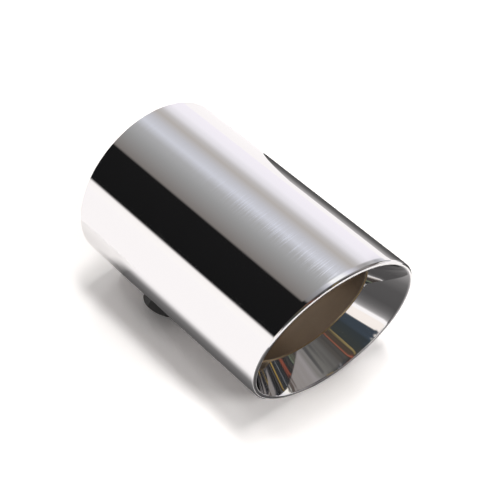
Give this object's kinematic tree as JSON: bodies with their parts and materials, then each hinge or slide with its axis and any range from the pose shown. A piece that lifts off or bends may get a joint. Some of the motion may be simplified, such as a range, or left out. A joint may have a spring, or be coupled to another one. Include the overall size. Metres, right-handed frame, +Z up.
{
  "type": "exhaust tip",
  "caption": "Polished slip-on exhaust tip: round shell with a slanted mouth, rolled lip and tapered throat, an inner sleeve for the tail pipe and a hexagon clamp screw.",
  "frame": {"origin": "the point on the table below the middle of the shell, which lies on its side", "axes": "+Y along the tube from the mouth to the rear, +Z up from the table"},
  "size_m": [0.089, 0.138, 0.089],
  "materials": {
    "polished_steel": "mirror polished stainless steel with fine lines round the tube",
    "satin_steel": "satin stainless steel as rolled",
    "black_steel": "black oxide"
  },
  "bodies": {
    "root": {"outer_shell": "polished_steel", "inlet_sleeve": "satin_steel", "rear_ring": "satin_steel", "clamp_nut": "satin_steel", "clamp_screw": "black_steel"}
  },
  "joints": []
}
